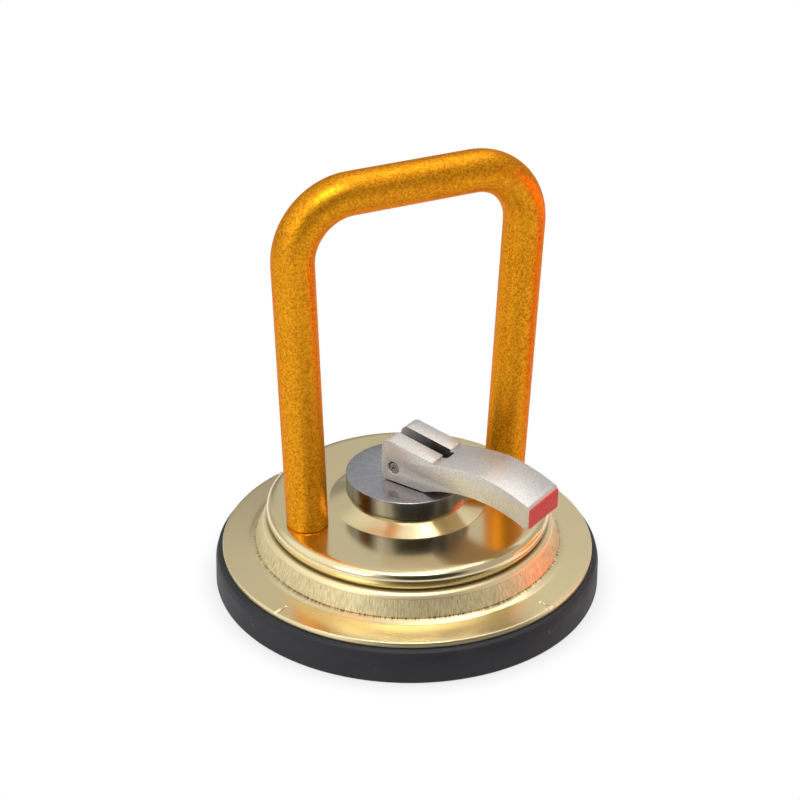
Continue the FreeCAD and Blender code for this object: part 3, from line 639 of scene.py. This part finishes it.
# four small creases across the edge of the flange
def domePress(r, z, a):
    if z < dome["edgeTop"] - 0.5 or r < dome["dotPlace"] - 1:
        return r, z
    gap = (math.degrees(a) - dome["creaseTurn"] + 45) % 90 - 45
    across = math.radians(gap) * r
    if r > dome["creaseFrom"]:
        fade = min(1.0, (r - dome["creaseFrom"]) / dome["creaseFade"])
        z -= dome["creaseDeep"] * fade * max(0.0, 1 - (across / dome["creaseHalf"]) ** 2)
        z += dome["creaseLip"] * fade * max(0.0, 1 - ((abs(across) - 0.8) / 0.35) ** 2)
    return r, z


# points added so that no stretch is longer than asked
def addDensity(line, longest):
    out = [line[0]]
    for a, b in zip(line, line[1:]):
        length = math.hypot(b[0] - a[0], b[1] - a[1])
        parts = max(1, int(math.ceil(length / longest)))
        for k in range(1, parts + 1):
            out.append((a[0] + (b[0] - a[0]) * k / parts, a[1] + (b[1] - a[1]) * k / parts))
    return out


def makeDome():
    outer = roundedLine(dome["boss"], 7)
    for place in dome["bead"]:
        outer += arcTo(outer[-1], place[:2], place[2], 9)
    outer += dome["groove"]
    for place in dome["shoulder"]:
        outer += arcTo(outer[-1], place[:2], place[2], 8)
    outer += roundedLine(dome["skirt"], 6)[1:]
    inner = roundedLine(dome["inner"], 4)
    line = addDensity(outer, dome["longest"]) + inner
    piece = lathe("domePressing", line, dome["around"], domePress)
    creaseAngle(piece, 40)
    dress(piece, gold)
    return piece


domePiece = makeDome()
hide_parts("dome_plate")
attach(domePiece, "base")


# small pressed dots at the inner ends of the creases
def makeDots():
    verts, faces = [], []
    slope = math.atan2(dome["rootTop"] - dome["edgeTop"], dome["slopeTo"] - dome["slopeFrom"])
    for k in range(4):
        a = math.radians(dome["creaseTurn"] + 90 * k)
        r = dome["dotPlace"]
        z = dome["rootTop"] - (r - dome["slopeFrom"]) * math.tan(slope)
        centre = Vector((r * math.cos(a), r * math.sin(a), z))
        start = len(verts)
        rows, around = 5, 14
        for i in range(rows):
            lift = math.radians(90 * i / rows)
            rr = dome["dotRadius"] * math.cos(lift)
            zz = dome["dotHigh"] * math.sin(lift)
            for j in range(around):
                t = 2 * math.pi * j / around
                u, v = rr * math.cos(t), rr * math.sin(t)
                p = centre + Vector((u * math.cos(a) - v * math.sin(a),
                                     u * math.sin(a) + v * math.cos(a),
                                     zz - 0.05 - u * math.tan(slope)))
                verts.append(p * mm)
        verts.append((centre + Vector((0, 0, dome["dotHigh"] - 0.05))) * mm)
        top = len(verts) - 1
        for i in range(rows - 1):
            for j in range(around):
                n = (j + 1) % around
                faces.append((start + i * around + j, start + i * around + n,
                              start + (i + 1) * around + n, start + (i + 1) * around + j))
        for j in range(around):
            n = (j + 1) % around
            faces.append((start + (rows - 1) * around + j, start + (rows - 1) * around + n, top))
        faces.append(tuple(start + j for j in reversed(range(around))))
    piece = meshObject("pressedDots", verts, faces)
    dress(piece, gold)
    return piece


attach(makeDots(), "base")
print("dome made")


# rubber cup: fixed rim, stretching middle, hub that goes up with the plate
cup = {
    "rim": [(50.0, 2.4), (53.0, 1.7, 1.0), (54.9, 0.0, 0.8), (56.5, 0.0), (56.9, 0.35, 0.1),
            (57.3, 0.0), (59.8, 0.0, 0.5), (60.1, 0.9, 0.6), (59.95, 8.2, 1.5),
            (59.4, 10.3, 0.9), (58.2, 10.75, 0.3), (57.2, 10.8), (49.6, 11.35), (44.8, 7.1),
            (50.0, 7.1)],
    "hollowEdge": 50.0,
    "middleLow": 2.4,
    "middleRise": 1.5,
    "hubEdge": 24.0,
    "skin": 0.5,
    "seat": 21.2,
    "seatFloor": 7.05,
}


def makeCup():
    rim = lathe("rubberRim", roundedLine(cup["rim"], 6), 256)
    creaseAngle(rim, 50)
    dress(rim, black)
    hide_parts("rubber_cup")
    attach(rim, "base")
    edge, hub = cup["hollowEdge"], cup["hubEdge"]
    low = cup["middleLow"]
    high = low + cup["middleRise"]
    line = []
    for k in range(25):
        t = k / 24
        line.append((edge + 0.2 + (hub - edge - 0.2) * t,
                     low + (high - low) * (t * t * (3 - 2 * t))))
    back = [(r, z + cup["skin"]) for r, z in reversed(line)]
    web = lathe("rubberWeb", line + back, 192)
    dress(web, black)
    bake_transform(web)
    seat, floor = cup["seat"], cup["seatFloor"]
    hubLine = [(0, high), (hub, high), (hub, 8.9, 0.4), (seat, 9.05, 0.3), (seat, floor),
               (0, floor)]
    disc = lathe("rubberHub", roundedLine(hubLine, 4), 128)
    creaseAngle(disc, 40)
    dress(disc, black)
    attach(disc, "cup_core")


makeCup()
print("rubber made")


# cam puck: turned disc with worn bevels
puck = {
    "line": [(5.4, 30.6), (19.3, 30.6, 0.45), (19.3, 36.55, 0.35), (5.4, 36.55, 0.4),
             (5.4, 35.8)],
}
puckPiece = lathe("puckDisc", roundedLine(puck["line"], 6), 256)
creaseAngle(puckPiece, 40)
dress(puckPiece, steel)
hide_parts("cam_puck")
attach(puckPiece, "base")
print("puck made")


# cam lever: side profile around the pin, x along the arm
lever = {
    "width": 16.0,
    "reach": 48.4,
    "slope": 9.5,
    "camDistance": 8.6,
    "slotHalf": 2.1,
    "slotEnd": 15.7,
    "bore": 2.01,
    "edge": 0.2,
    "under": -4.7,
    "back": -4.3,
    "heel": 2.0,
    "backRound": 2.5,
    "archStart": 11.6,
    "archRise": 3.8,
    "step": 14.0,
    "crest": (31.0, 7.5),
    "tipTop": 1.8,
    "frontRound": 52.0,
    "armRound": 85.0,
}


def leverProfile():
    under = lever["under"]
    slope = math.radians(lever["slope"])
    distance = lever["camDistance"]
    back, heel, backRound = lever["back"], lever["heel"], lever["backRound"]
    archStart, archEnd, rise = lever["archStart"], lever["reach"] - 1.7, lever["archRise"]
    half = (archEnd - archStart) / 2
    archRadius = (half * half + rise * rise) / (2 * rise)
    stepX = lever["step"]
    stepHigh = distance / math.cos(slope) - math.tan(slope) * stepX
    armStart = stepHigh - 0.85
    crest, tipTop = lever["crest"], lever["tipTop"]
    centreX = back + backRound
    centreZ = (distance - backRound - centreX * math.sin(slope)) / math.cos(slope)
    line = [(back + heel, under), (archStart - 0.8, under), (archStart, under + 0.12)]
    line += arcTo((archStart, under + 0.12), (archEnd, under), -archRadius, 22)
    line += [(lever["reach"], under), (lever["reach"], tipTop)]
    line += arcTo(line[-1], (lever["reach"] - 1.02, tipTop + 1.2), 1.2, 5)
    line += arcTo(line[-1], crest, lever["frontRound"], 12)
    line += arcTo(line[-1], (stepX, armStart), lever["armRound"], 12)
    line += [(stepX, stepHigh),
             (centreX + backRound * math.sin(slope), centreZ + backRound * math.cos(slope))]
    line += arcTo(line[-1], (back, centreZ), backRound, 7)
    line += [(back, under + heel)]
    line += arcTo(line[-1], (back + heel, under), heel, 6)[:-1]
    return line


# the walls and the end of the slot get the painted shade
def darkenSlot(piece):
    reach, side = lever["slotEnd"] * mm + 1e-4, lever["slotHalf"] * mm + 5e-5
    turnBack = Matrix.Rotation(-leverTurn, 4, "Z")
    for face in piece.data.polygons:
        c, n = turnBack @ face.center, turnBack @ face.normal
        inside = abs(c.y) < side and c.x < reach and abs(n.z) < 0.5
        if inside and (abs(n.y) > 0.5 or c.x > reach - 1.2e-3):
            face.material_index = 2


def makeLever():
    line = leverProfile()
    half = lever["width"] / 2
    count = len(line)
    verts = [(x, -half, z) for x, z in line] + [(x, half, z) for x, z in line]
    faces = [tuple(range(count)), tuple(reversed(range(count, 2 * count)))]
    faces += [(k, k + count, (k + 1) % count + count, (k + 1) % count) for k in range(count)]
    piece = meshObject("camLever", [Vector(v) * mm for v in verts], faces, smooth=False)
    fixNormals(piece)
    slot = lever["slotHalf"]
    end = lever["slotEnd"]
    outline = roundedLine([(-12, -slot), (end, -slot, 0.8), (end, slot, 0.8), (-12, slot)], 5)
    n = len(outline)
    verts = [(x, y, -12) for x, y in outline] + [(x, y, 16) for x, y in outline]
    faces = [tuple(reversed(range(n))), tuple(range(n, 2 * n))]
    faces += [(k, (k + 1) % n, (k + 1) % n + n, k + n) for k in range(n)]
    cutter = meshObject("slotCutter", [Vector(v) * mm for v in verts], faces, smooth=False)
    fixNormals(cutter)
    around = 48
    bore = lever["bore"]
    verts = [(bore * math.cos(2 * math.pi * k / around), side * 10,
              bore * math.sin(2 * math.pi * k / around))
             for side in (-1, 1) for k in range(around)]
    faces = [tuple(range(around)), tuple(reversed(range(around, 2 * around)))]
    faces += [(k, k + around, (k + 1) % around + around, (k + 1) % around)
              for k in range(around)]
    borer = meshObject("pinBorer", [Vector(v) * mm for v in verts], faces, smooth=False)
    fixNormals(borer)
    for tool in (cutter, borer):
        cut = piece.modifiers.new("cut", "BOOLEAN")
        cut.operation = "DIFFERENCE"
        cut.solver = "EXACT"
        cut.object = tool
    applyModifiers(piece)
    for tool in (cutter, borer):
        bpy.data.objects.remove(tool)
    piece.data.materials.clear()
    for mat in (cast, wornEdgeHighlight, slotShade):
        piece.data.materials.append(mat)
    soften = piece.modifiers.new("soften", "BEVEL")
    soften.width = lever["edge"] * mm
    soften.segments = 3
    soften.limit_method = "ANGLE"
    soften.angle_limit = math.radians(32)
    soften.harden_normals = True
    soften.material = 1
    applyModifiers(piece)
    piece.data.polygons.foreach_set("use_smooth", [True] * len(piece.data.polygons))
    creaseAngle(piece, 40)
    piece.data.transform(Matrix.Translation((0, 0, pinHigh * mm))
                         @ Matrix.Rotation(leverTurn, 4, "Z"))
    darkenSlot(piece)
    return piece


leverPiece = makeLever()
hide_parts("cam_lever")
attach(leverPiece, "lever")
print("lever made")


# coiled spring pin: a strip rolled up, seen as a ring with a curl inside
coiledPin = {"radius": 1.93, "strip": 0.62, "gap": 0.13, "turns": 1.9, "length": 15.7,
             "start": 200.0}


def makePin():
    steps = 120
    pitch = coiledPin["strip"] + coiledPin["gap"]
    outer, inner = [], []
    for k in range(steps + 1):
        turn = 2 * math.pi * coiledPin["turns"] * k / steps
        r = coiledPin["radius"] - pitch * max(0.0, turn / (2 * math.pi) - 0.15)
        a = math.radians(coiledPin["start"]) + turn
        r2 = max(r - coiledPin["strip"], 0.03)
        outer.append((r * math.cos(a), r * math.sin(a)))
        inner.append((r2 * math.cos(a), r2 * math.sin(a)))
    half = coiledPin["length"] / 2
    verts = [Vector((x, side * half, z)) for side in (-1, 1) for x, z in outer + inner]
    n = steps + 1
    faces = []
    for k in range(steps):
        for base, turned in ((0, False), (2 * n, True)):
            quad = (base + k, base + k + 1, base + n + k + 1, base + n + k)
            faces.append(tuple(reversed(quad)) if turned else quad)
        faces.append((k, 2 * n + k, 2 * n + k + 1, k + 1))
        faces.append((n + k, n + k + 1, 3 * n + k + 1, 3 * n + k))
    faces.append((0, n, 3 * n, 2 * n))
    faces.append((n - 1, 3 * n - 1, 4 * n - 1, 2 * n - 1))
    piece = meshObject("coiledPin", [v * mm for v in verts], faces)
    fixNormals(piece)
    creaseAngle(piece, 40)
    piece.data.transform(Matrix.Translation((0, 0, pinHigh * mm))
                         @ Matrix.Rotation(leverTurn, 4, "Z"))
    dress(piece, zinc)
    return piece


pinPiece = makePin()
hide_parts("lever_pin")
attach(pinPiece, "lever")
print("pin made")


# return spring, pressed together between its seat and the plate in the rubber
coil = {"mean": 13.1, "wire": 1.8, "turns": 5, "low": 9.2, "high": 26.0, "seat": 26.1}


def makeSpring():
    perTurn, around = 48, 14
    count = coil["turns"] * perTurn
    half = coil["wire"] / 2
    low, high = coil["low"] + half, coil["high"] - half
    verts, faces = [], []
    for k in range(count + 1):
        turn = 2 * math.pi * k / perTurn
        z = low + (high - low) * k / count
        for j in range(around):
            a = 2 * math.pi * j / around
            r = coil["mean"] + half * math.cos(a)
            verts.append((r * math.cos(turn), r * math.sin(turn), z + half * math.sin(a)))
    for k in range(count):
        for j in range(around):
            n = (j + 1) % around
            faces.append((k * around + j, k * around + n,
                          (k + 1) * around + n, (k + 1) * around + j))
    faces.append(tuple(range(around)))
    faces.append(tuple(reversed(range(count * around, (count + 1) * around))))
    piece = meshObject("returnSpring", [Vector(v) * mm for v in verts], faces)
    fixNormals(piece)
    creaseAngle(piece, 50)
    dress(piece, oiled)
    return piece


springPiece = makeSpring()
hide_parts("return_spring")
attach(springPiece, "base")
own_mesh(springPiece)
print("spring made")


# solids kept as they are, with finishes of their own
finishes = {
    "handle": paint, "tip_marker": red, "pull_stud": oiled,
    "slip_washer": washerDark, "guide_bush": bronze, "thrust_washer": bronze,
    "handle_screws": zinc, "handle_washers": zinc, "handle_lock_washers": zinc,
    "spring_seat_washer": zinc, "cup_insert": zinc, "swivel_cap": zinc,
}
for name, mat in finishes.items():
    nodes[name].data.materials.clear()
    nodes[name].data.materials.append(mat)
print("solids dressed")


# floor, studio lights and surroundings
studio = {
    "floor": (0.86, 0.86, 0.86),
    # dark patch on the floor that only reflections see, for a painted dark reflection
    "darkReflectionPatch": (-98, 0, 34, 14),
    "darkReflectionTone": (0.03, 0.027, 0.025),
    # red patch on the floor that only reflections see, for a painted red reflection
    "redReflectionPatch": (-18, 0, 12, 5),
    "redReflectionTone": (0.80, 0.05, 0.02),
    "room": 0.46,
    # azimuth, elevation, half width, softness, and how much brighter or what is kept
    "brights": [(160, 40, 32, 14, 0.55), (-125, 78, 20, 10, 0.45), (20, 62, 22, 12, 0.30),
                (62, 28, 34, 14, 0.13)],
    "darks": [(-102, 31, 28, 6, 0.06), (75, 12, 14, 8, 0.45)],
    "keyPower": 0.85,
    "sidePower": 0.9,
    "overPower": 3.5,
    "warmPower": 0.5,
    "reds": (-15, 3, 12, 4, 0.7),
    "redGlow": (1.0, 0.07, 0.03),
    "warmColour": (1.0, 0.22, 0.06),
    "shadowReach": 0.012,
}


def makeFloor():
    piece = meshObject("floor", [(-3, -3, 0), (3, -3, 0), (3, 3, 0), (-3, 3, 0)],
                       [(0, 1, 2, 3)])
    mat, tree, shader = newMaterial("floorPaper")
    shader.inputs["Roughness"].default_value = 0.9
    rays = addNode(tree, "ShaderNodeLightPath")
    # a dark patch painted on the floor in front of the object, which only reflections see, puts a
    # painted dark reflection on the dome
    place = objectPlace(tree)
    toward = addNode(tree, "ShaderNodeVectorMath", operation="NORMALIZE")
    tree.links.new(place, toward.inputs[0])
    front = glowToward(tree, toward.outputs[0], *studio["darkReflectionPatch"])
    reach = addNode(tree, "ShaderNodeVectorMath", operation="LENGTH")
    tree.links.new(place, reach.inputs[0])
    near = mathNode(tree, "MULTIPLY", spread(tree, reach.outputs["Value"], 0.066, 0.074, 0.0, 1.0),
                    spread(tree, reach.outputs["Value"], 0.115, 0.16, 1.0, 0.0))
    front = mathNode(tree, "MULTIPLY", mathNode(tree, "MULTIPLY", front, near),
                     rays.outputs["Is Glossy Ray"])
    # a red patch painted on the floor off to the side, which only reflections see, puts a painted
    # red reflection on the shiny parts
    redReflectionMask = mathNode(tree, "MULTIPLY", glowToward(tree, toward.outputs[0], *studio["redReflectionPatch"]),
                       spread(tree, reach.outputs["Value"], 0.10, 0.16, 0.0, 1.0))
    redReflectionMask = mathNode(tree, "MULTIPLY", redReflectionMask, rays.outputs["Is Glossy Ray"])
    paper = mixColour(tree, front, studio["floor"], studio["darkReflectionTone"])
    tree.links.new(mixColour(tree, redReflectionMask, paper, studio["redReflectionTone"]),
                   shader.inputs["Base Color"])
    glow = addNode(tree, "ShaderNodeEmission")
    glow.inputs["Strength"].default_value = 1.0
    out = tree.nodes["Material Output"]
    mixer = addNode(tree, "ShaderNodeMixShader")
    # the camera sees white paper, with only the shadow under the rubber left in
    shade = addNode(tree, "ShaderNodeAmbientOcclusion")
    shade.inputs["Distance"].default_value = studio["shadowReach"]
    dim = spread(tree, shade.outputs["AO"], 0.25, 0.85, 0.72, 1.0)
    tone = vector(tree, dim, dim, dim)
    tree.links.new(tone, glow.inputs["Color"])
    tree.links.new(rays.outputs["Is Camera Ray"], mixer.inputs[0])
    tree.links.new(shader.outputs[0], mixer.inputs[1])
    tree.links.new(glow.outputs[0], mixer.inputs[2])
    tree.links.new(mixer.outputs[0], out.inputs["Surface"])
    dress(piece, mat)


def areaLight(name, place, aim, size, power, colour=(1, 1, 1)):
    data = bpy.data.lights.new(name, "AREA")
    data.shape = "RECTANGLE"
    data.size, data.size_y = size
    data.energy = power
    data.color = colour
    lamp = bpy.data.objects.new(name, data)
    lamp.location = place
    lamp.rotation_euler = (Vector(aim) - Vector(place)).to_track_quat("-Z", "Y").to_euler()
    bpy.context.scene.collection.objects.link(lamp)


# one within a cone about a direction, nothing outside it, soft between
def glowToward(tree, direction, azimuth, elevation, wide, soft):
    a, e = math.radians(azimuth), math.radians(elevation)
    dot = addNode(tree, "ShaderNodeVectorMath", operation="DOT_PRODUCT")
    tree.links.new(direction, dot.inputs[0])
    dot.inputs[1].default_value = (math.cos(e) * math.cos(a), math.cos(e) * math.sin(a),
                                   math.sin(e))
    node = addNode(tree, "ShaderNodeMapRange", interpolation_type="SMOOTHSTEP")
    tree.links.new(dot.outputs["Value"], node.inputs["Value"])
    node.inputs["From Min"].default_value = math.cos(math.radians(min(wide + soft, 179)))
    node.inputs["From Max"].default_value = math.cos(math.radians(max(wide - soft, 0.5)))
    return node.outputs["Result"]


def makeWorld():
    world = bpy.data.worlds.new("surroundings")
    bpy.context.scene.world = world
    world.use_nodes = True
    tree = world.node_tree
    back = tree.nodes["Background"]
    where = addNode(tree, "ShaderNodeTexCoord")
    direction = where.outputs["Generated"]
    level = studio["room"]
    for azimuth, elevation, wide, soft, gain in studio["brights"]:
        patch = glowToward(tree, direction, azimuth, elevation, wide, soft)
        level = mathNode(tree, "ADD", mathNode(tree, "MULTIPLY", patch, gain), level)
    for azimuth, elevation, wide, soft, keep in studio["darks"]:
        patch = glowToward(tree, direction, azimuth, elevation, wide, soft)
        level = mathNode(tree, "MULTIPLY", level,
                         spread(tree, patch, 0.0, 1.0, 1.0, keep))
    redPatch = glowToward(tree, direction, *studio["reds"][:4])
    tone = mixColour(tree, redPatch, (1.0, 1.0, 1.0), studio["redGlow"])
    level = mathNode(tree, "ADD", level, mathNode(tree, "MULTIPLY", redPatch,
                                                  studio["reds"][4]))
    rays = addNode(tree, "ShaderNodeLightPath")
    seen = spread(tree, rays.outputs["Is Camera Ray"], 0.0, 1.0, 0.0, 1.0)
    white = mathNode(tree, "MULTIPLY", level, mathNode(tree, "SUBTRACT", 1.0, seen))
    tree.links.new(mathNode(tree, "ADD", white, seen), back.inputs["Strength"])
    tree.links.new(mixColour(tree, seen, tone, (1.0, 1.0, 1.0)), back.inputs["Color"])


makeFloor()
makeWorld()
areaLight("key", (0.30, 0.10, 0.75), (0, 0, 0.05), (0.45, 0.45), studio["keyPower"])
areaLight("side", (-0.65, -0.25, 0.40), (0, 0, 0.06), (0.35, 0.5), studio["sidePower"])
areaLight("overhead", (-0.14, -0.29, 0.88), (0, 0, 0.10), (0.50, 0.20), studio["overPower"])
areaLight("warm", (0.56, -0.16, 0.05), (0, 0, 0.07), (0.3, 0.2), studio["warmPower"],
          studio["warmColour"])
print("studio lit")
